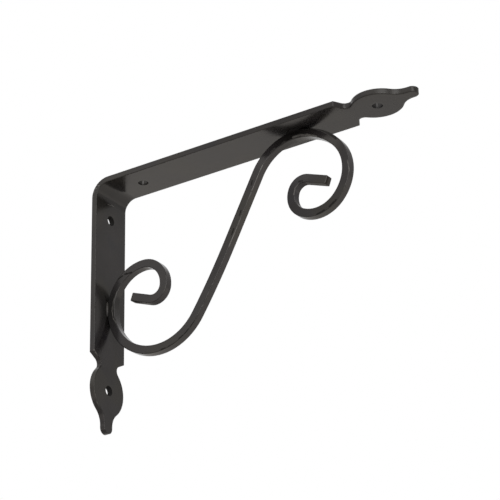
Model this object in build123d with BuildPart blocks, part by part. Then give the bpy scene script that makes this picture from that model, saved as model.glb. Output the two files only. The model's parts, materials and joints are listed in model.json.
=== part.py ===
from build123d import *
from math import asin, degrees, sqrt
import os

# Shelf bracket: a flat bar bent into an angle, with a leaf-shaped end on each arm, and an
# S-scroll of square bar welded inside it. Millimetres. X runs out from the wall along the
# shelf arm, Y runs across the bar and Z is up. The origin lies on the wall face, midway
# between the two wall screw holes.

# ---- flat bar, its sizes taken over the paint ----
bar_width = 25.4
bar_thickness = 3.1
bend_inner_radius = 7.0
wall_arm_shoulder = 98.2  # from the shelf face down to the shoulders of the wall arm
shelf_arm_shoulder = 152.2  # from the wall face out to the shoulders of the shelf arm
bar_edge_break = 0.2  # bevel along the edges, but not round the punched holes

# ---- leaf end, the same on both arms ----
neck_width = 13.3
neck_radius = 3.2
belly_setback = 18.3  # from the shoulders to the centre of the belly and of its screw hole
belly_width = 24.7
belly_radius = 14.8
throat_radius = 9.8  # hollow between the belly and the finger
finger_width = 6.6
finger_straight = 1.1

# ---- screw holes, two in each arm, on its middle line ----
screw_hole_diameter = 5.5
wall_hole_beyond_bend = 9.4  # from the end of the bend to the hole near it
shelf_hole_beyond_bend = 14.4

# ---- scroll, square bar bent in one plane; its radii are those of its middle line ----
scroll_side = 4.5
scroll_edge_break = 0.25  # bevel along every edge
diagonal_slope = 62.0  # degrees above level
diagonal_straight = 38.7
easing_radius = 400.0  # slight bow where the diagonal runs into the wall bow
easing_angle = 5.7
wall_bow_radius = 29.5
shelf_bow_radius = 27.0
wall_curl_radii = (20.25, 13.5, 7.0)  # from the weld to the free end
wall_curl_turns = (91.0, 96.0, 103.0)
wall_curl_tail = 11.7  # straight at the free end
shelf_curl_radii = (32.5, 22.0, 17.5, 11.5, 7.0)
shelf_curl_turns = (51.0, 83.0, 73.0, 81.0, 92.0)
shelf_curl_tail = 12.4

# ---- welds, a fillet on each side of the scroll where it touches an arm ----
weld_leg = 1.2
weld_length = 8.0


def centre_beside(centre, distance, height, side):
    """Centre at a given height and distance from another, beyond (1) or before (-1) it."""
    return Vector(centre.X + side * sqrt(distance**2 - (height - centre.Y) ** 2), height)


def between(centre_a, radius_a, centre_b, radius_b):
    """Where two circles that touch from outside meet."""
    return centre_a + (centre_b - centre_a) * (radius_a / (radius_a + radius_b))


# The leaf is drawn from the shoulders at x = 0 outwards along X. Three circles shape each
# side of it, each touching the next, and a slope runs from the shoulder to the first.
shoulder = Vector(0, bar_width / 2)
belly = Vector(belly_setback, belly_width / 2 - belly_radius)
neck = centre_beside(belly, belly_radius + neck_radius, neck_width / 2 + neck_radius, -1)
throat = centre_beside(belly, belly_radius + throat_radius, finger_width / 2 + throat_radius, 1)
finger_end = Vector(throat.X + finger_straight, finger_width / 2)
tip = Vector(finger_end.X + finger_width / 2, 0)
to_neck = neck - shoulder
slope_direction = to_neck.rotate(Axis.Z, -degrees(asin(neck_radius / to_neck.length)))
slope_length = sqrt(to_neck.length**2 - neck_radius**2)

with BuildSketch() as leaf:
    with BuildLine():
        slope = Line(shoulder, shoulder + slope_direction.normalized() * slope_length)
        neck_end = between(neck, neck_radius, belly, belly_radius)
        hollow = TangentArc(slope @ 1, neck_end, tangent=slope % 1)
        belly_end = between(belly, belly_radius, throat, throat_radius)
        bulge = TangentArc(hollow @ 1, belly_end, tangent=hollow % 1)
        dip = TangentArc(bulge @ 1, (throat.X, finger_width / 2), tangent=bulge % 1)
        finger = Line(dip @ 1, finger_end)
        TangentArc(finger @ 1, tip, tangent=finger % 1)
        mirror(about=Plane.XZ)
        Line((0, bar_width / 2), (0, -bar_width / 2))
    make_face()

# Each arm's plane lies on its outer face at the shoulders, with X pointing to its tip and
# Z pointing into the bar.
bend_end = bar_thickness + bend_inner_radius
wall_hole_pitch = wall_arm_shoulder + belly_setback - bend_end - wall_hole_beyond_bend
shelf_hole_pitch = shelf_arm_shoulder + belly_setback - bend_end - shelf_hole_beyond_bend
shelf_face_height = wall_arm_shoulder + belly_setback - wall_hole_pitch / 2
wall_arm = Plane((0, 0, shelf_face_height - wall_arm_shoulder), (0, 0, -1), (1, 0, 0))
shelf_arm = Plane((shelf_arm_shoulder, 0, shelf_face_height), (1, 0, 0), (0, 0, -1))

with BuildPart() as angle_bar:
    with BuildSketch(Plane.XZ) as bent_side:
        with BuildLine():
            wall_end = shelf_face_height - wall_arm_shoulder
            outer = FilletPolyline(
                (0, wall_end),
                (0, shelf_face_height),
                (shelf_arm_shoulder, shelf_face_height),
                radius=bend_inner_radius + bar_thickness,
            )
            inner = FilletPolyline(
                (bar_thickness, wall_end),
                (bar_thickness, shelf_face_height - bar_thickness),
                (shelf_arm_shoulder, shelf_face_height - bar_thickness),
                radius=bend_inner_radius,
            )
            Line(outer @ 0, inner @ 0)
            Line(outer @ 1, inner @ 1)
        make_face()
    extrude(amount=bar_width / 2, both=True)
    with BuildSketch(wall_arm, shelf_arm):
        add(leaf.sketch)
    extrude(amount=bar_thickness)
    chamfer(angle_bar.edges(), length=bar_edge_break)
    for arm, pitch in ((wall_arm, wall_hole_pitch), (shelf_arm, shelf_hole_pitch)):
        with BuildSketch(arm):
            with Locations((belly_setback, 0), (belly_setback - pitch, 0)):
                Circle(screw_hole_diameter / 2)
        extrude(amount=bar_thickness, mode=Mode.SUBTRACT)


def curl(start, heading, radii, turns, tail):
    """Bends the bar's line clockwise through each radius in turn, then runs on straight."""
    for radius, turn in zip(radii, turns):
        bend = JernArc(start, heading, radius, -turn)
        start, heading = bend @ 1, bend % 1
    Line(start, start + heading * tail)


# The scroll's middle line is drawn flat, from the place where it runs plumb against the wall
# arm, at the origin, up the diagonal to the place where it runs level under the shelf arm.
with BuildLine() as scroll_line:
    bow = JernArc((0, 0), (0, -1), wall_bow_radius, 90 + diagonal_slope - easing_angle)
    easing = JernArc(bow @ 1, bow % 1, easing_radius, easing_angle)
    diagonal = Line(easing @ 1, easing @ 1 + (easing % 1) * diagonal_straight)
    crest = JernArc(diagonal @ 1, diagonal % 1, shelf_bow_radius, -diagonal_slope)
    shelf_contact = crest @ 1
    curl(shelf_contact, crest % 1, shelf_curl_radii, shelf_curl_turns, shelf_curl_tail)
    curl(Vector(0, 0), Vector(0, 1), wall_curl_radii, wall_curl_turns, wall_curl_tail)

# Stood up so that the bar just touches the inner face of each arm.
reach = bar_thickness + scroll_side / 2
wall_contact_height = shelf_face_height - reach - shelf_contact.Y
scroll_plane = Plane((reach, 0, wall_contact_height), (1, 0, 0), (0, -1, 0))
scroll_path = scroll_plane * scroll_line.wire()

with BuildPart() as scroll:
    with BuildSketch(Plane(scroll_path @ 0, (0, 1, 0), scroll_path % 0)):
        square = Rectangle(scroll_side, scroll_side)
        chamfer(square.vertices(), length=scroll_edge_break)
    sweep(path=scroll_path)
    for end in (scroll_path @ 0, scroll_path @ 1):
        cut_face = scroll.faces().sort_by_distance(end)[0]
        chamfer(cut_face.edges(), length=scroll_edge_break)

# A weld's foot lies on the inner face of its arm, under the middle of the touching line, with
# X along the arm and Z away from it.
wall_foot = Plane((bar_thickness, 0, wall_contact_height), (0, 0, 1), (1, 0, 0))
shelf_foot = Plane(
    (reach + shelf_contact.X, 0, shelf_face_height - bar_thickness), (1, 0, 0), (0, 0, -1)
)


def weld_fillets(foot):
    """A bead in the corner on each side of the scroll, a quarter of a round-ended rod."""
    with BuildPart() as fillets:
        with BuildSketch(foot):
            with BuildLine():
                side = scroll_side / 2
                Line((-weld_length / 2, side), (weld_length / 2, side))
                near = CenterArc((weld_length / 2 - weld_leg, side), weld_leg, 0, 90)
                far = CenterArc((weld_leg - weld_length / 2, side), weld_leg, 90, 90)
                Line(near @ 1, far @ 0)
            make_face()
        corner = Axis(foot.from_local_coords((0, scroll_side / 2)), foot.x_dir)
        revolve(axis=corner, revolution_arc=90)
        mirror(about=Plane.XZ)
    return fillets


wall_weld = weld_fillets(wall_foot)
shelf_weld = weld_fillets(shelf_foot)

os.makedirs("parts", exist_ok=True)
pieces = {
    "angle_bar": angle_bar,
    "scroll": scroll,
    "wall_weld": wall_weld,
    "shelf_weld": shelf_weld,
}
for name, piece in pieces.items():
    piece.part.label = name
    export_step(piece.part, f"parts/{name}.step")
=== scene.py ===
import json
import math

import bmesh
import bpy
from mathutils import Matrix, Vector


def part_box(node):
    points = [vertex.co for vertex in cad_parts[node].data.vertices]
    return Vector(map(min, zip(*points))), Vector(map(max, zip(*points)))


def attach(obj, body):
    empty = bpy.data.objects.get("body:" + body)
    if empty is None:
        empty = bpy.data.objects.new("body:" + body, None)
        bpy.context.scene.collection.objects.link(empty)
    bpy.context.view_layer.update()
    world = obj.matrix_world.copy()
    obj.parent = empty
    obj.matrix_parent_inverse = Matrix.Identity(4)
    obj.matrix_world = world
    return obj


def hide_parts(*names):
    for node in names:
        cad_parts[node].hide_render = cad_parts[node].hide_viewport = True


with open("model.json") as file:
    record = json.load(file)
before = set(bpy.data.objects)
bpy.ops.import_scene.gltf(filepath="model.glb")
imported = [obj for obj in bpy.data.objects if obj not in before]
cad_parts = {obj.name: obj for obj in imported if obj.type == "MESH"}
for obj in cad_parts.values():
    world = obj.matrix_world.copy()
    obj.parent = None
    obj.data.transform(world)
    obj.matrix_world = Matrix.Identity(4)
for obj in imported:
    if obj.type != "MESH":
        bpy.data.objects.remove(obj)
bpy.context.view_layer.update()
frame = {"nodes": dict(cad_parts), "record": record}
scene = bpy.context.scene
scene.view_settings.view_transform = "Standard"
MM = 0.001


# ---- camera: below the shelf and out in front of it, looking up into the corner ----
CAMERA_AT = (0.69036, -0.88199, -0.48603)
CAMERA_RIGHT = Vector((0.82379, 0.56671, -0.01445))
CAMERA_UP = Vector((0.24884, -0.33859, 0.90743))
CAMERA_BACK = Vector((0.50936, -0.75113, -0.41995))
SENSOR_WIDTH = 36.0
LENS = 167.206
CLIP_END = 50.0
camera_data = bpy.data.cameras.new("camera")
camera_data.sensor_width = SENSOR_WIDTH
camera_data.lens = LENS
camera_data.clip_end = CLIP_END
camera = bpy.data.objects.new("camera", camera_data)
axes = Matrix((CAMERA_RIGHT, CAMERA_UP, CAMERA_BACK)).transposed()
camera.matrix_world = Matrix.Translation(CAMERA_AT) @ axes.to_4x4()
scene.collection.objects.link(camera)
scene.camera = camera


# ---- nodes ----
class Nodes:
    """Adds nodes to a tree, with sockets linked and numbers set in one call."""

    def __init__(self, tree):
        self.tree = tree
        tree.nodes.clear()

    def add(self, kind, inputs=None, **settings):
        node = self.tree.nodes.new("ShaderNode" + kind)
        for key, value in settings.items():
            setattr(node, key, value)
        for key, value in (inputs or {}).items():
            if isinstance(value, bpy.types.NodeSocket):
                self.tree.links.new(value, node.inputs[key])
            else:
                node.inputs[key].default_value = value
        return node

    def math(self, operation, first, second=0.0):
        return self.add("Math", {0: first, 1: second}, operation=operation).outputs[0]

    def vector(self, operation, first, second=(0, 0, 0)):
        return self.add("VectorMath", {0: first, 1: second}, operation=operation)

    def inverse(self, value):
        return self.math("SUBTRACT", 1.0, value)

    def scaled(self, vector, by):
        return self.add("VectorMath", {0: vector, "Scale": by}, operation="SCALE").outputs[0]

    def part(self, vector, index):
        return self.add("SeparateXYZ", {0: vector}).outputs[index]

    def away_from(self, place, point):
        away = self.vector("SUBTRACT", place, point).outputs[0]
        return self.vector("LENGTH", away).outputs["Value"]

    def noise(self, place, scale, detail=3.0, roughness=0.55, distortion=0.0):
        settings = {"Vector": place, "Scale": scale, "Detail": detail, "Roughness": roughness,
                    "Distortion": distortion}
        return self.add("TexNoise", settings).outputs["Fac"]

    def ramp(self, value, low, high, to_low=0.0, to_high=1.0):
        """A smooth step. It isn't clamped, because that adds nodes that Cycles runs out of room
        for, and a smooth step stays in its range without it."""
        settings = {"Value": value, "From Min": low, "From Max": high, "To Min": to_low,
                    "To Max": to_high}
        return self.add("MapRange", settings, clamp=False,
                        interpolation_type="SMOOTHSTEP").outputs[0]

    def to_segment(self, place, start, end, seen_along="Y"):
        """How far a place is from a segment, both seen along Y or X; start and end are (x, z) or
        (y, z)."""
        def laid(a, z):
            return (a, 0.0, z) if seen_along == "Y" else (0.0, a, z)
        flat = self.vector("MULTIPLY", place, laid(1, 1)).outputs[0]
        run = laid(end[0] - start[0], end[1] - start[1])
        away = self.vector("SUBTRACT", flat, laid(*start)).outputs[0]
        along = self.vector("DOT_PRODUCT", away, run).outputs["Value"]
        share = self.math("DIVIDE", along, run[0] ** 2 + run[1] ** 2 + run[2] ** 2)
        share = self.math("MAXIMUM", self.math("MINIMUM", share, 1.0), 0.0)
        return self.vector("DISTANCE", away, self.scaled(run, share)).outputs["Value"]

    def mix(self, factor, first, second):
        return self.add("MixRGB", {"Fac": factor, "Color1": first, "Color2": second}).outputs[0]

    def either(self, first, second):
        """The larger of two masks, where the first may be missing."""
        return self.math("MAXIMUM", first, second) if first else second

    def leaned(self, normal, lean):
        return self.vector("NORMALIZE", self.vector("ADD", normal, lean).outputs[0]).outputs[0]

    def bumped(self, normal, height, depth):
        settings = {"Height": height, "Strength": 1.0, "Distance": depth, "Normal": normal}
        return self.add("Bump", settings).outputs[0]


def rgb(color, by=1.0):
    return (color[0] * by, color[1] * by, color[2] * by, 1.0)


# ---- black paint on mild steel ----
PAINT = (0.0165, 0.0146, 0.0152)
PAINT_WARM = (0.0205, 0.0182, 0.0145)
PAINT_COOL = (0.0140, 0.0132, 0.0165)
# lighter paint: wear on the arrises, and painted highlights
WEAR_AND_GLINT = (0.105, 0.100, 0.094)
# dark paint: streaks and marks, and painted shade
DARK_STREAK_AND_SHADE = (0.0050, 0.0046, 0.0045)
PAINT_IOR = 1.5
GLOSS_TINT = (1.0, 0.98, 0.955, 1.0)

# noises: scale, detail, and where given roughness and distortion
CLOUDS = (55.0, 4.0, 0.6)
BREAKS = (210.0, 3.0, 0.6, 0.4)
STREAKS = (150.0, 4.0, 0.65, 0.8)
TINTS = (38.0, 2.0)
MARK_GRAIN = (900.0, 2.0)
GLINT_PATCHES = (420.0, 2.0)
WAVES = (120.0, 1.0)
PEEL = (1100.0, 2.0)
RIPPLES = (330.0, 2.0)
RIPPLE_STRETCH = (1.0, 0.25, 1.0)

# ramps: from, to, and where given the values at both ends
CLOUD_SPAN = (0.3, 0.7)
CLOUD_SHADES = (0.8, 1.25)
WARM_SPAN = (0.52, 0.66, 0.0, 0.8)
COOL_SPAN = (0.46, 0.34, 0.0, 0.8)
SIDE_SPAN = (0.3, 0.6, 1.0, 0.0)
EDGE_FACE_SPAN = (0.5, 0.9)
ARRIS_SPAN = (0.03, 0.2)
BESIDE_SPAN = (0.004, 0.05)
STREAK_SPAN = (0.55, 0.62, 0.0, 0.85)
WEAR_SPAN = (0.46, 0.62, 0.0, 0.75)
MARK_FACING_SPAN = (0.3, 0.65)
MARK_GRAIN_SPAN = (0.25, 0.42)
GLINT_PATCH_SPAN = (0.36, 0.52, 0.45, 1.0)
LINE_SPAN = (0.6, 1.0, 0.9, 0.0)

# depths of the bumps, and reaches
WAVE_DEPTH = 0.045 * MM
RIPPLE_DEPTH_ON_EDGES = 0.05 * MM
PEEL_DEPTH = 0.0025 * MM
WIDE_RADIUS = 1.3 * MM
ARRIS_SAMPLES = 8
WIDE_SAMPLES = 6
HOLE_RIM = (0.3 * MM, 0.9 * MM)
BORE_SLACK = 0.02 * MM
DENT_REACH = (4.0 * MM, 10.0 * MM)
DENT_ROUGHER = 2.5
SHADE_CORE = 0.25
MARK_CORE = 0.3
GLINT_CORE = 0.5
INNER_X = (0.5 * MM, 2.5 * MM)
INNER_Z = (65.5 * MM, 67.5 * MM, 1.0, 0.0)
SCROLL_FRONT_Y = (-1.9 * MM, -1.6 * MM, 1.0, 0.0)
BAR_FRONT_X = (2.3 * MM, 2.7 * MM)

# how strongly each layer shows
STREAK_ROUGHER = 0.35
# painted shade inside the bores: its level and its roughness
SHADED_BORE_LEVEL = 0.8
SHADED_BORE_ROUGHNESS = 0.92
ROLLED_FLATTER = 0.85
LEAF_ROUNDER = 0.75
LEAF_ROUGHER = 0.10
LEAF_DARKER = 0.45
ROLL_SPAN = (6.75 * MM, 110.5 * MM)
MARK_LEAN = (0.0, 0.0, -1.0)


def hole_masks(n, place, bores, dark_bores):
    """The holes with a strip round them, and the inside of the first dark_bores, where shade is
    painted, or None for either.
    """
    hole, shaded_bore = None, None
    for index, (x, y, z, axis) in enumerate(bores):
        away = n.vector("SUBTRACT", place, (x, y, z)).outputs[0]
        across = n.vector("MULTIPLY", away, (0, 1, 1) if axis == 0 else (1, 1, 0)).outputs[0]
        distance = n.vector("LENGTH", across).outputs["Value"]
        rim = [hole_radius + reach for reach in HOLE_RIM]
        hole = n.either(hole, n.ramp(distance, *rim, 1.0, 0.0))
        if index < dark_bores:
            shaded_bore = n.either(shaded_bore, n.math("LESS_THAN", distance, hole_radius + BORE_SLACK))
    return hole, shaded_bore


def mark_mask(n, place, shifted, face, marks):
    """The dark marks, some of them painted shade, on faces that look towards -Y, or None."""
    marks_and_shade = None
    for x0, z0, x1, z1, half in marks:
        away = n.to_segment(place, (x0 * MM, z0 * MM), (x1 * MM, z1 * MM))
        marks_and_shade = n.either(marks_and_shade, n.ramp(away, MARK_CORE * half * MM, half * MM, 1.0, 0.0))
    if marks_and_shade:
        facing = n.ramp(n.math("MULTIPLY", n.part(face, 1), -1.0), *MARK_FACING_SPAN)
        grain = n.ramp(n.noise(shifted, *MARK_GRAIN), *MARK_GRAIN_SPAN)
        marks_and_shade = n.math("MULTIPLY", marks_and_shade, n.math("MULTIPLY", facing, grain))
    return marks_and_shade


def arris_glint_mask(n, place, place_x, shifted, arris_glints, seen_along):
    """The stretches of arris with a painted highlight."""
    glinted = None
    for a0, z0, a1, z1, half in arris_glints:
        away = n.to_segment(place, (a0 * MM, z0 * MM), (a1 * MM, z1 * MM), seen_along)
        glinted = n.either(glinted, n.ramp(away, GLINT_CORE * half * MM, half * MM, 1.0, 0.0))
    if seen_along == "Y":
        in_front = n.ramp(n.part(place, 1), *SCROLL_FRONT_Y)
    else:
        in_front = n.ramp(place_x, *BAR_FRONT_X)
    patchy = n.ramp(n.noise(shifted, *GLINT_PATCHES), *GLINT_PATCH_SPAN)
    return n.math("MULTIPLY", glinted, n.math("MULTIPLY", in_front, patchy))


def glint_line_mask(n, place, start, end, half):
    """A painted highlight line, as a box round the two points."""
    middle = [(a + b) / 2 for a, b in zip(start, end)]
    away = n.vector("ABSOLUTE", n.vector("SUBTRACT", place, middle).outputs[0]).outputs[0]
    reach = [abs(a - b) / 2 + half for a, b in zip(start, end)]
    box = n.add("SeparateXYZ", {0: n.vector("DIVIDE", away, reach).outputs[0]}).outputs
    farthest = n.math("MAXIMUM", n.math("MAXIMUM", box[0], box[1]), box[2])
    return n.ramp(farthest, *LINE_SPAN)


def paint(name, seed, rough=(0.17, 0.25), arris_radius=0.4, shade=1.0, bores=(), dark_bores=0,
          painted_shade=(), dented=(), marks=(), glint_lines=(), arris_glints=(), leans=(), rolled=None,
          painted_side_light=1.0, ior=PAINT_IOR, seen_along="Y"):
    """Black paint over steel: cloudy colour, soft waves and fine peel in its surface, arrises
    lighter in places, partly from wear and partly as painted highlights, with dark streaks beside
    them.
    arris_radius: how softly the arrises shade, in mm.
    shade: how light the paint is, against the rest.
    bores: (x, y, z, axis) of each hole, its axis 0 or 2 for X or Z; the first dark_bores have
    painted shade inside.
    scorched: (point, reach, added roughness, darkness) of painted shade, where the paint is also
    duller, on the inner faces of the two arms and on the scroll.
    dented: points round which the sheared edge is rougher.
    marks: dark marks on the near face, (x, z, x, z, half width) in mm, some of them painted shade.
    They are dark and dull, and their normals lean down; they have no depth.
    lines: painted highlight strokes, (start, end, half width) in metres.
    rubs: stretches of arris with a painted highlight, given as the marks are, or with y for x
    where seen_along is "X".
    leans: (centre, full reach, last reach, lean) of places whose normals lean, without any change
    of shape.
    rolled: (x from, x to, leaf from, leaf to, lean) of the shelf arm. Between x from and x to its
    arrises fade, and over ROLL_SPAN its normals lean along Z, which shows on the sheared edges.
    Both end at the leaf, where the arrises are wide and the paint is duller and darker.
    painted_side_light: painted light, how much lighter the paint is on faces that look along X or
    Z than on the near and far ones.
    ior: how strongly the paint reflects."""
    material = bpy.data.materials.new(name)
    material.use_nodes = True
    n = Nodes(material.node_tree)
    place = n.add("TexCoord").outputs["Object"]
    shifted = n.vector("ADD", place, (seed, seed * 0.7, -seed)).outputs[0]
    face = n.add("NewGeometry").outputs["True Normal"]

    # arrises: how far the rounded normal leaves the flat one
    soft = n.add("Bevel", {"Radius": arris_radius * MM}, samples=ARRIS_SAMPLES).outputs[0]
    hole, shaded_bore = hole_masks(n, place, bores, dark_bores)
    wide = n.add("Bevel", {"Radius": WIDE_RADIUS}, samples=WIDE_SAMPLES).outputs[0]
    place_x = n.part(place, 0)
    if rolled:
        x0, x1, leaf0, leaf1, roll = rolled
        at_leaf = n.ramp(place_x, leaf0, leaf1)
        on_shelf = n.math("MULTIPLY", n.ramp(place_x, x0, x1), n.inverse(at_leaf))
        soft = n.mix(n.math("MULTIPLY", on_shelf, ROLLED_FLATTER), soft, face)
        soft = n.mix(n.math("MULTIPLY", at_leaf, LEAF_ROUNDER), soft, wide)
    if hole:
        soft = n.mix(hole, soft, face)
    soft_turn = n.inverse(n.vector("DOT_PRODUCT", soft, face).outputs["Value"])
    wide_turn = n.inverse(n.vector("DOT_PRODUCT", wide, face).outputs["Value"])
    arris = n.ramp(soft_turn, *ARRIS_SPAN)
    beside = n.ramp(wide_turn, *BESIDE_SPAN)

    clouds = n.noise(shifted, *CLOUDS)
    broken = n.noise(shifted, *BREAKS)
    streaky = n.noise(shifted, *STREAKS)
    tint = n.noise(shifted, *TINTS)
    along_y = n.math("ABSOLUTE", n.part(face, 1))

    # colour of the sound paint
    darker, brighter = (rgb(PAINT, by * shade) for by in CLOUD_SHADES)
    color = n.mix(n.ramp(clouds, *CLOUD_SPAN), darker, brighter)
    color = n.mix(n.ramp(tint, *WARM_SPAN), color, rgb(PAINT_WARM))
    color = n.mix(n.ramp(tint, *COOL_SPAN), color, rgb(PAINT_COOL))
    # painted light: faces that look along X or Z are made lighter
    lighter = n.vector("MULTIPLY", color, (painted_side_light, painted_side_light, painted_side_light)).outputs[0]
    color = n.mix(n.ramp(along_y, *SIDE_SPAN), color, lighter)

    # dark streaks beside the arrises, dark marks, and dull dark patches of painted shade
    if hole:
        keep = n.inverse(hole)
        arris, beside = n.math("MULTIPLY", arris, keep), n.math("MULTIPLY", beside, keep)
    streaks_and_shade = n.math("MULTIPLY", beside, n.ramp(streaky, *STREAK_SPAN))
    marks_and_shade = mark_mask(n, place, shifted, face, marks)
    if marks_and_shade:
        streaks_and_shade = n.math("MAXIMUM", streaks_and_shade, marks_and_shade)
    color = n.mix(streaks_and_shade, color, rgb(DARK_STREAK_AND_SHADE))
    roughness = n.ramp(clouds, *CLOUD_SPAN, *rough)
    place_z = n.part(place, 2)
    inner = n.math("MULTIPLY", n.ramp(place_x, *INNER_X), n.ramp(place_z, *INNER_Z))
    # painted shade, with duller paint, round the given points on the inner faces
    for point, reach, dulled, darkened in painted_shade:
        near = n.ramp(n.away_from(place, point), SHADE_CORE * reach, reach, 1.0, 0.0)
        near = n.math("MULTIPLY", inner, near)
        roughness = n.math("ADD", roughness, n.math("MULTIPLY", near, dulled))
        color = n.mix(n.math("MULTIPLY", near, darkened), color, rgb(DARK_STREAK_AND_SHADE))

    # lighter paint along the arrises, partly from wear and partly painted highlight
    wear_and_glint = n.math("MULTIPLY", arris, n.ramp(broken, *WEAR_SPAN))
    if arris_glints:
        wear_and_glint = n.math("MAXIMUM", wear_and_glint, arris_glint_mask(n, place, place_x, shifted, arris_glints, seen_along))
    color = n.mix(wear_and_glint, color, rgb(WEAR_AND_GLINT))
    roughness = n.math("ADD", roughness, n.math("MULTIPLY", streaks_and_shade, STREAK_ROUGHER))
    # painted highlights in the same light colour
    for start, end, half in glint_lines:
        color = n.mix(glint_line_mask(n, place, start, end, half), color, rgb(WEAR_AND_GLINT))

    if rolled:
        roughness = n.math("ADD", roughness, n.math("MULTIPLY", at_leaf, LEAF_ROUGHER))
        color = n.mix(n.math("MULTIPLY", at_leaf, LEAF_DARKER), color, rgb(DARK_STREAK_AND_SHADE))
    # painted shade inside the first bores, dark and very rough
    if shaded_bore:
        color = n.mix(shaded_bore, color, rgb(DARK_STREAK_AND_SHADE, SHADED_BORE_LEVEL))
        roughness = n.math("MAXIMUM", roughness, n.math("MULTIPLY", shaded_bore, SHADED_BORE_ROUGHNESS))

    # waves: long ones everywhere, ripples on faces that look along Y, and the paint's fine peel
    edge_face = n.ramp(along_y, *EDGE_FACE_SPAN)
    waves = n.noise(shifted, *WAVES)
    peel = n.noise(shifted, *PEEL)
    normal = n.bumped(soft, waves, WAVE_DEPTH)
    ripples = n.noise(n.vector("MULTIPLY", shifted, RIPPLE_STRETCH).outputs[0], *RIPPLES)
    ripples = n.math("MULTIPLY", ripples, edge_face)
    rougher = 1.0
    for point in dented:
        near = n.ramp(n.away_from(place, point), *DENT_REACH, DENT_ROUGHER, 0.0)
        rougher = n.math("ADD", rougher, near)
    ripples = n.math("MULTIPLY", ripples, rougher)
    normal = n.bumped(normal, ripples, RIPPLE_DEPTH_ON_EDGES)
    if marks_and_shade:
        normal = n.leaned(normal, n.scaled(MARK_LEAN, marks_and_shade))
    for centre, full, last, lean in leans:
        share = n.ramp(n.away_from(place, centre), full, last, 1.0, 0.0)
        normal = n.leaned(normal, n.scaled(lean, share))
    if rolled:
        share = n.math("MULTIPLY", n.ramp(place_x, *ROLL_SPAN), n.inverse(at_leaf))
        normal = n.leaned(normal, n.scaled((0.0, 0.0, roll), share))
    normal = n.bumped(normal, peel, PEEL_DEPTH)

    settings = {"Base Color": color, "Roughness": roughness, "Normal": normal, "IOR": ior}
    shader = n.add("BsdfPrincipled", settings)
    shader.inputs["Specular Tint"].default_value = GLOSS_TINT
    n.add("OutputMaterial", {"Surface": shader.outputs[0]})
    return material


def clad(thing, material):
    thing.data.materials.clear()
    thing.data.materials.append(material)


# the screw holes, where the record's mounts put them: two up the wall arm, two along the shelf arm
mounts = {mount["name"]: mount for mount in frame["record"]["mounts"]}
holes = []
for mount_name, axis in (("wall_holes", 0), ("shelf_holes", 2)):
    x, y, z = mounts[mount_name]["pos_m"]
    dims = mounts[mount_name]["dims"]
    pitch = MM * (dims["spacing_y_mm"] if axis == 0 else dims["spacing_x_mm"])
    for half in (-pitch / 2, pitch / 2):
        holes.append((x, y, z + half, 0) if axis == 0 else (x + half, y, z, 2))
hole_radius = MM * mounts["wall_holes"]["dims"]["hole_r_mm"]

# painted shade, where the paint is also dull: both contacts of the scroll, and the inside of the
# bend; where the paint is dull and dark, which may be soot, shadow or thick paint in the photo:
# both contacts of the scroll, and the inside of the bend
CONTACT_REACH = 16.0 * MM
CONTACT_DARKNESS = 0.85
wall_contact = (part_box("wall_weld")[0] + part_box("wall_weld")[1]) / 2
shelf_contact = (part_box("shelf_weld")[0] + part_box("shelf_weld")[1]) / 2
contacts = (
    (wall_contact, CONTACT_REACH, 0.04, CONTACT_DARKNESS),
    (shelf_contact, CONTACT_REACH, 0.10, CONTACT_DARKNESS),
)
corner = ((0.005, -0.006, 0.061), 14.0 * MM, 0.0, 0.6)

# the leaves' necks, where the sheared edge is rougher
NECKS = ((0.1510, -0.0095, 0.0680), (0.1590, -0.0070, 0.0665), (0.0020, -0.0095, -0.0310))

# painted highlights: where the bend begins, and three on the bend's near arris
PAINTED_GLINTS = (
    ((0.0031, -0.0030, 0.0574), (0.0031, -0.0002, 0.0574), 0.28 * MM),
    ((0.0031, -0.0002, 0.0580), (0.0031, 0.0027, 0.0580), 0.28 * MM),
    ((0.0012, -0.0127, 0.0610), (0.0014, -0.0127, 0.0616), 0.30 * MM),
    ((0.0024, -0.0127, 0.0627), (0.0029, -0.0127, 0.0630), 0.30 * MM),
    ((0.0042, -0.0127, 0.0638), (0.0048, -0.0127, 0.0642), 0.25 * MM),
)

# Places whose normals lean. The first stands for the slight twist that the photo shows in the
# loop's top. The others, on the curl and the diagonal under the shelf arm and on the tails of both
# curls, have no known cause and only match the photo's shading.
LEANS = (
    ((0.125, 0.0, 0.060), 0.020, 0.030, (0.0, 0.0, 0.17)),
    ((0.140, 0.0, 0.028), 0.022, 0.034, (0.0, 0.0, -0.15)),
    ((0.088, 0.0, 0.025), 0.026, 0.042, (0.0, 0.0, -0.09)),
    ((0.027, 0.0, -0.006), 0.006, 0.012, (0.0, -0.3, 0.0)),
    ((0.134, 0.0, 0.031), 0.008, 0.013, (0.0, -0.3, 0.0)),
)

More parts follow.
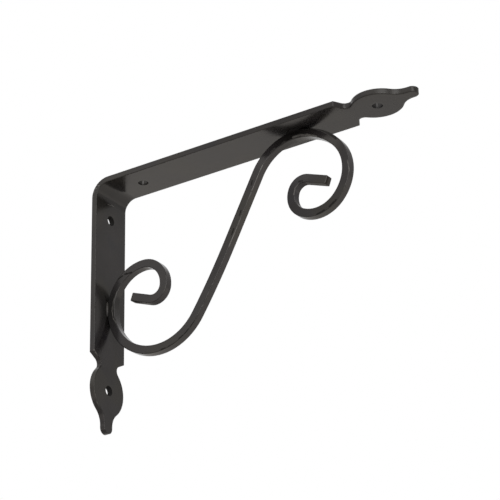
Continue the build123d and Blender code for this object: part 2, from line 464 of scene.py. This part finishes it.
# dark marks on the scroll's near face, placed where the photo shows them; the four widest, along
# the loop's top under the shelf arm, are painted shade and dark reflection
DARK_MARKS_AND_SHADE = (
    (145.5, 18.9, 141.7, 16.5, 0.80), (138.7, 15.3, 134.4, 14.3, 0.70),
    (124.2, 35.4, 126.1, 35.2, 0.70), (126.8, 33.6, 128.4, 33.7, 0.65),
    (95.9, 44.2, 95.2, 42.2, 0.60), (97.4, 41.5, 96.5, 39.8, 0.55),
    (95.3, 37.4, 94.4, 35.6, 0.70), (88.6, 29.4, 87.6, 26.9, 0.60),
    (84.0, 20.5, 82.6, 17.6, 0.60), (59.1, -24.3, 56.6, -26.7, 0.50),
    (55.3, -27.7, 52.9, -29.7, 0.50), (51.9, -30.2, 49.4, -31.5, 0.50),
    (46.3, -33.4, 42.8, -34.3, 0.55), (40.6, -34.5, 38.1, -34.7, 0.50),
    (14.5, 13.6, 18.8, 13.5, 0.65), (9.7, 11.9, 12.9, 13.0, 0.60),
    (19.1, -2.7, 22.3, -4.7, 0.75), (35.4, -7.7, 36.5, -6.8, 0.50),
    (113.3, 58.6, 115.8, 60.4, 0.75), (132.9, 63.5, 136.5, 61.5, 0.9),
    (136.5, 61.5, 140, 59.2, 0.9), (140, 59.2, 143.5, 56.3, 0.9),
    (143.5, 56.3, 146.9, 53, 0.9), (108, 57.1, 109.9, 58.2, 0.7),
)

# stretches of arris with painted highlights: on the wall arm's leaf as (y, z), on the scroll as
# (x, z)
LEAF_ARRIS_GLINTS = (
    (-12.7, -29.6, -10.6, -31.3, 0.35), (-10.6, -31.3, -8.6, -33.0, 0.35),
    (-10.0, -57.0, -7.9, -59.4, 0.35), (-7.9, -59.4, -5.1, -62.6, 0.35),
    (-4.8, -62.9, -3.9, -68.2, 0.3),
)
PAINTED_ARRIS_GLINTS = (
    (102.3, 51.3, 100.1, 47.4, 0.32), (100.1, 47.4, 95.6, 39, 0.32),
    (95, 37.8, 91.8, 31.1, 0.32), (91.8, 31.1, 87.3, 23.3, 0.32),
    (87.3, 23.3, 80.9, 11.6, 0.32), (64.5, -16.6, 60.5, -24.1, 0.3),
    (60.5, -24.1, 55.7, -29.5, 0.3), (55.7, -29.5, 51.9, -31.1, 0.3),
    (9.3, 5.1, 7, 0, 0.3), (7, 0, 6.2, -4.9, 0.3),
    (6.2, -4.9, 7.1, -9.8, 0.3), (7.1, -9.8, 8.9, -12.7, 0.3),
    (120.7, 28.9, 121.7, 32.5, 0.3), (121.7, 32.5, 123.9, 34.4, 0.3),
    (153.2, 38.8, 154, 33, 0.35), (154, 33, 153.4, 27.7, 0.35),
    (153.4, 27.7, 150.9, 22.9, 0.35), (121.3, 61.5, 125.6, 61.3, 0.8),
    (125.6, 61.3, 129.8, 60.2, 0.8), (129.8, 60.2, 135.1, 57.6, 0.8),
)

# x from, x to, leaf from, leaf to, lean: fitted to the photo's shading, with no change of shape
SHELF_EDGES = (0.020, 0.055, 0.148, 0.158, -0.17)

bar_paint = paint("black_paint_bar", seed=0.11, arris_radius=0.5, bores=holes, dark_bores=2,
                  painted_shade=contacts + (corner,), dented=NECKS, glint_lines=PAINTED_GLINTS, rolled=SHELF_EDGES,
                  arris_glints=LEAF_ARRIS_GLINTS, seen_along="X")
scroll_paint = paint("black_paint_scroll", seed=0.53, arris_radius=0.3, painted_shade=contacts,
                     marks=DARK_MARKS_AND_SHADE, arris_glints=PAINTED_ARRIS_GLINTS, leans=LEANS, painted_side_light=1.6)
clad(frame["nodes"]["angle_bar"], bar_paint)
clad(frame["nodes"]["scroll"], scroll_paint)
for name in ("wall_weld", "shelf_weld"):
    clad(frame["nodes"][name], paint("black_paint_" + name, seed=0.9, rough=(0.3, 0.4)))


# ---- weld beads: a short tapering bead on each side of both contacts, with crescent ripples ----
STEPS_ALONG = 110
STEPS_ROUND = 12
TAPER_POWER = 1.25
DRIFT_LONG = (0.10, 1.7 * MM)
DRIFT_SHORT = (0.06, 0.6 * MM)
RIPPLE_PITCH = 0.75 * MM
RIPPLE_DEPTH = 0.075
RIPPLE_MEAN = 0.6
RIPPLE_CURVE = 0.45
RIPPLE_SHIFT = 0.1
EMBED = 0.06 * MM
INSIDE = 0.5 * MM
INSIDE_TALL = 0.9
FAR_SIDE_WOBBLE = 1.3


def bead_side(mesh, centre, along, out, side, half, legs, length, wobble):
    """One bead: a quarter round, thick in the middle and pointed at its ends, laid in the corner
    between the flat bar (whose outward direction is out) and the scroll's side (facing side)."""
    rings = []
    for i in range(STEPS_ALONG + 1):
        t = 2.0 * i / STEPS_ALONG - 1.0
        s = t * length / 2
        taper = math.sqrt(max(0.0, 1.0 - t * t)) ** TAPER_POWER
        drift = (1.0 + DRIFT_LONG[0] * math.sin(s / DRIFT_LONG[1] + wobble)
                 + DRIFT_SHORT[0] * math.sin(s / DRIFT_SHORT[1] + 2 * wobble))
        corner = centre + along * s + side * half
        ring = [corner - side * INSIDE - out * EMBED]
        for j in range(STEPS_ROUND + 1):
            turn = 0.5 * math.pi * j / STEPS_ROUND
            phase = s / RIPPLE_PITCH + RIPPLE_CURVE * math.sin(2 * turn) + RIPPLE_SHIFT * wobble
            ripple = RIPPLE_DEPTH * (abs(math.sin(math.pi * phase)) - RIPPLE_MEAN)
            flat, tall = [(leg * drift * (1.0 + ripple) - EMBED) * taper + EMBED for leg in legs]
            ring.append(corner + side * (flat * math.cos(turn))
                        + out * (tall * math.sin(turn) - EMBED))
        ring.append(corner - side * INSIDE + out * (legs[1] * taper * INSIDE_TALL))
        rings.append([mesh.verts.new(p) for p in ring])
    for first, second in zip(rings, rings[1:]):
        for k in range(len(first)):
            m = (k + 1) % len(first)
            mesh.faces.new((first[k], first[m], second[m], second[k]))
    mesh.faces.new(list(reversed(rings[0])))
    mesh.faces.new(rings[-1])


def weld_bead(node, along, out, length, legs, wobble, finish):
    """Both beads of one contact, as one piece that stands for the CAD node's plain fillets."""
    low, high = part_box(node)
    scroll_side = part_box("scroll")[1].y
    middle = (low + high) / 2
    on_bar = low if out[0] + out[1] + out[2] > 0 else high
    centre = Vector((on_bar[k] if out[k] else middle[k] for k in range(3)))
    centre.y = 0.0
    mesh = bmesh.new()
    for k, side in enumerate((Vector((0, -1, 0)), Vector((0, 1, 0)))):
        bead_side(mesh, centre, along, out, side, scroll_side, legs, length,
                  wobble + FAR_SIDE_WOBBLE * k)
    bmesh.ops.recalc_face_normals(mesh, faces=mesh.faces)
    data = bpy.data.meshes.new(node + "_bead")
    mesh.to_mesh(data)
    mesh.free()
    for polygon in data.polygons:
        polygon.use_smooth = True
    bead = bpy.data.objects.new(node + "_bead", data)
    scene.collection.objects.link(bead)
    clad(bead, finish)
    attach(bead, "root")
    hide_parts(node)


smooth_bead = paint("black_paint_wall_bead", seed=1.3, rough=(0.24, 0.34), arris_radius=0.1)
# the shelf bead's paint is much darker and duller than the rest
darkened_bead = paint("black_paint_shelf_bead", seed=3.0, rough=(0.42, 0.6), arris_radius=0.1,
                   shade=0.3, ior=1.2)
UP, OUT, DOWN = (Vector(v) for v in ((0, 0, 1), (1, 0, 0), (0, 0, -1)))
weld_bead("wall_weld", along=UP, out=OUT, length=8.4 * MM, legs=(1.15 * MM, 1.15 * MM),
          wobble=0.4, finish=smooth_bead)
weld_bead("shelf_weld", along=OUT, out=DOWN, length=8.0 * MM, legs=(2.3 * MM, 1.15 * MM),
          wobble=2.1, finish=darkened_bead)


# ---- floor: pale and matt to the camera, with its shadow. How much of it the paint reflects
# varies by place, fitted to the reflections in the photo, which shows no room of its own ----
FLOOR_AT = -0.95
FLOOR_SIZE = 24.0
FLOOR_COLOR = (0.56, 0.545, 0.53)
FLOOR_LIFT = 0.62
FLOOR_GLOSS_SHARE = 0.60
FLOOR_GLOSS_COLOR = (1.0, 0.955, 0.90, 1.0)
FLOOR_SEEN_COLOR = (1.0, 1.025, 1.05, 1.0)
BACK_Y = (-0.2, 1.2)
DIM_AT = (-0.75, 1.95, 0.0)
DIM_REACH = (0.1, 0.6, 0.5, 1.0)
FAR_X = (1.0, 3.0, 1.0, 1.4)
FRONT_Y = (-1.5, -0.9, 1.3, 0.0)
bpy.ops.mesh.primitive_plane_add(size=FLOOR_SIZE, location=(0, 0, FLOOR_AT))
floor = bpy.context.object
floor.name = "floor"
floor_material = bpy.data.materials.new("floor")
floor_material.use_nodes = True
n = Nodes(floor_material.node_tree)
path = n.add("LightPath")
lit = n.add("BsdfDiffuse", {"Color": rgb(FLOOR_COLOR)})
in_gloss = n.math("MAXIMUM", path.outputs["Is Glossy Ray"], path.outputs["Is Transmission Ray"])
floor_place = n.add("SeparateXYZ", {0: n.add("TexCoord").outputs["Object"]}).outputs
back_part = n.ramp(floor_place[1], *BACK_Y)
dim = n.vector("DISTANCE", n.add("TexCoord").outputs["Object"], DIM_AT).outputs["Value"]
back_part = n.math("MULTIPLY", back_part, n.ramp(dim, *DIM_REACH))
back_part = n.math("MULTIPLY", back_part, n.ramp(floor_place[0], *FAR_X))
both_parts = n.math("ADD", back_part, n.ramp(floor_place[1], *FRONT_Y))
in_gloss = n.math("MULTIPLY", in_gloss, n.math("MULTIPLY", both_parts, FLOOR_GLOSS_SHARE))
share = n.math("MAXIMUM", path.outputs["Is Camera Ray"], in_gloss)
tint = n.mix(path.outputs["Is Camera Ray"], FLOOR_GLOSS_COLOR, FLOOR_SEEN_COLOR)
lift = n.add("Emission", {"Color": tint, "Strength": n.math("MULTIPLY", share, FLOOR_LIFT)})
shown = n.add("AddShader", {0: lit.outputs[0], 1: lift.outputs[0]})
n.add("OutputMaterial", {"Surface": shown.outputs[0]})
floor.data.materials.append(floor_material)

# ---- world: a soft, slightly warm room, white to the camera and, behind the object, to the paint.
# Its brighter parts, in front and above, are fitted to the reflections too ----
ROOM = (1.0, 0.978, 0.955)
ROOM_LEVEL = 0.5
AHEAD_LEVEL = 0.12
SKY_LEVEL = 0.5
BACKDROP_TOWARDS = (-0.509, 0.751, 0.42)
BACKDROP_SPAN = (0.72, 0.92)
FRONT_TOWARDS = (0.0, -1.0, 0.1)
FRONT_SPAN = (0.1, 0.9)
SKY_TOWARDS = (-0.20, -0.70, 0.69)
SKY_SPAN = (0.79, 0.985)
world = bpy.data.worlds.new("world")
world.use_nodes = True
scene.world = world
n = Nodes(world.node_tree)
path = n.add("LightPath")
towards = n.vector("NORMALIZE", n.add("TexCoord").outputs["Generated"]).outputs[0]


def lobe(direction, span):
    """1 towards a direction, falling to 0 away from it; span is in cosines."""
    return n.ramp(n.vector("DOT_PRODUCT", towards, direction).outputs["Value"], *span)


behind = lobe(BACKDROP_TOWARDS, BACKDROP_SPAN)
ahead = lobe(FRONT_TOWARDS, FRONT_SPAN)
sky = lobe(SKY_TOWARDS, SKY_SPAN)
level = n.math("ADD", ROOM_LEVEL, n.math("MULTIPLY", ahead, AHEAD_LEVEL))
level = n.math("ADD", level, n.math("MULTIPLY", sky, SKY_LEVEL))
room = n.add("Background", {"Color": rgb(ROOM), "Strength": level})
white = n.add("Background", {"Color": (1, 1, 1, 1), "Strength": 1.0})
seen = n.math("MAXIMUM", path.outputs["Is Glossy Ray"], path.outputs["Is Transmission Ray"])
seen = n.math("MAXIMUM", n.math("MULTIPLY", seen, behind), path.outputs["Is Camera Ray"])
mixed = n.add("MixShader", {0: seen, 1: room.outputs[0], 2: white.outputs[0]})
n.add("OutputWorld", {"Surface": mixed.outputs[0]})


def softbox(name, at, look, size, radiance):
    """An area lamp whose face shines at the given radiance."""
    data = bpy.data.lights.new(name, "AREA")
    data.shape = "RECTANGLE"
    data.size, data.size_y = size
    data.energy = radiance * math.pi * size[0] * size[1]
    lamp = bpy.data.objects.new(name, data)
    scene.collection.objects.link(lamp)
    lamp.location = at
    lamp.rotation_euler = (Vector(look) - Vector(at)).to_track_quat("-Z", "Y").to_euler()
    lamp.visible_camera = False


CENTRE = (0.09, 0.0, 0.0)
softbox("front_box", at=(1.02, -1.03, 0.10), look=CENTRE, size=(0.85, 1.90), radiance=2.1)
softbox("top_box", at=(0.20, 0.30, 2.0), look=CENTRE, size=(1.0, 1.0), radiance=1.6)
